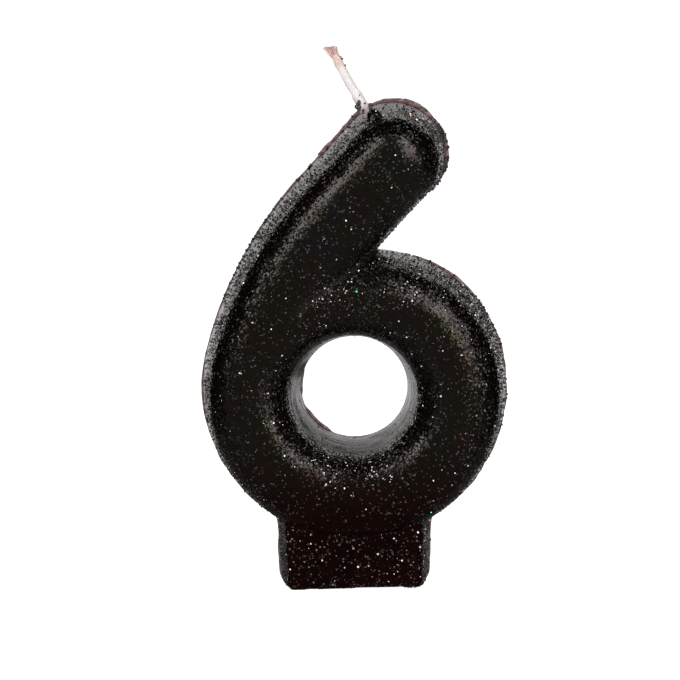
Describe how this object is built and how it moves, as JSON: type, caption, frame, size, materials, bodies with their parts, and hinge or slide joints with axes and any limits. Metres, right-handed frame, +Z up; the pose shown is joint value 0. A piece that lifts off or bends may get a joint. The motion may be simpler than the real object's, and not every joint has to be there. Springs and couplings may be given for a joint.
{
  "type": "number birthday candle",
  "caption": "Puffy wax numeral six with a flat back, a square standing foot, a black glitter coat and a cotton wick leaning out of the top.",
  "frame": {"origin": "on the table under the middle of the numeral: the bottom centre of the bounding box", "axes": "+Z up, the reader looks along +Y at the numeral's front, +X to the reader's right, the flat back faces +Y"},
  "size_m": [0.0462, 0.0136, 0.0819],
  "materials": {
    "core_wax": "waxy satin, dark reddish brown",
    "black_glitter_wax": "glossy black wax full of fine silver glitter",
    "glitter": "bright flakes, mostly silver to pale pink",
    "wick_cotton": "off-white twisted cotton, frayed at the tip",
    "clear_wax": "translucent white wax",
    "pale_wax": "translucent pinkish white wax",
    "black_wax_specks": "glossy black wax"
  },
  "bodies": {
    "root": {"wax_core": "core_wax", "black_coat": "black_glitter_wax", "glitter_flakes": "glitter", "wick_strand_1": "wick_cotton", "wick_strand_2": "wick_cotton", "wick_strand_3": "wick_cotton", "wick_primer": "clear_wax", "wick_collar": "pale_wax", "wax_specks": "black_wax_specks"}
  },
  "joints": []
}
